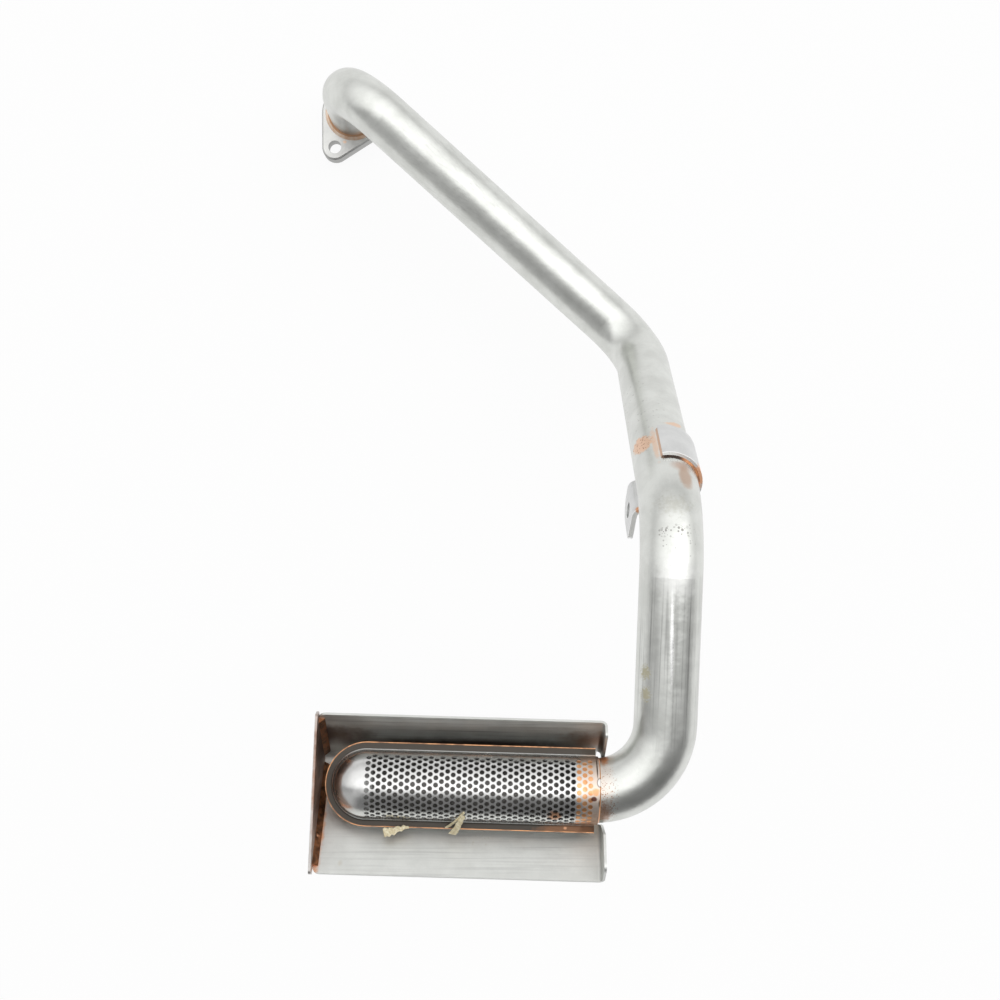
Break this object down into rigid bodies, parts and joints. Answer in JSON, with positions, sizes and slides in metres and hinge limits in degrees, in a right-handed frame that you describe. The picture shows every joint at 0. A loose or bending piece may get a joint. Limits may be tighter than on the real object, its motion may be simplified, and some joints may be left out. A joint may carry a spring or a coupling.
{
  "type": "oil suction connection",
  "caption": "Bent steel oil pick-up pipe with a bolting flange, a strap bracket and a perforated strainer under a folded sheet shield, all copper brazed.",
  "frame": {"origin": "centre of the pipe's open end, in the plane of the flange's mating face", "axes": "+Z along the pipe's first run, away from the mating face; +Y from the strainer towards the flange; +X from the flange towards the riser"},
  "size_m": [0.2708, 0.566, 0.2987],
  "materials": {
    "pipe_steel": "bare drawn tube, satin",
    "flange_steel": "bare steel, matt, with copper stain round the pipe",
    "bracket_steel": "bare sheet steel, satin",
    "screen_steel": "bare pressed steel, bright, with heat stain",
    "shield_steel": "bare sheet steel, satin, with brown heat stain",
    "copper": "furnace brazed copper, soft sheen"
  },
  "bodies": {
    "root": {"flange": "flange_steel", "suction_tube": "pipe_steel", "bracket": "bracket_steel", "strainer_screen": "screen_steel", "strainer_back": "screen_steel", "shield": "shield_steel", "shield_end_plate": "shield_steel", "flange_braze": "copper", "bracket_braze": "copper", "lip_braze": "copper", "seam_braze": "copper", "saddle_braze": "copper", "end_plate_braze": "copper"}
  },
  "joints": []
}
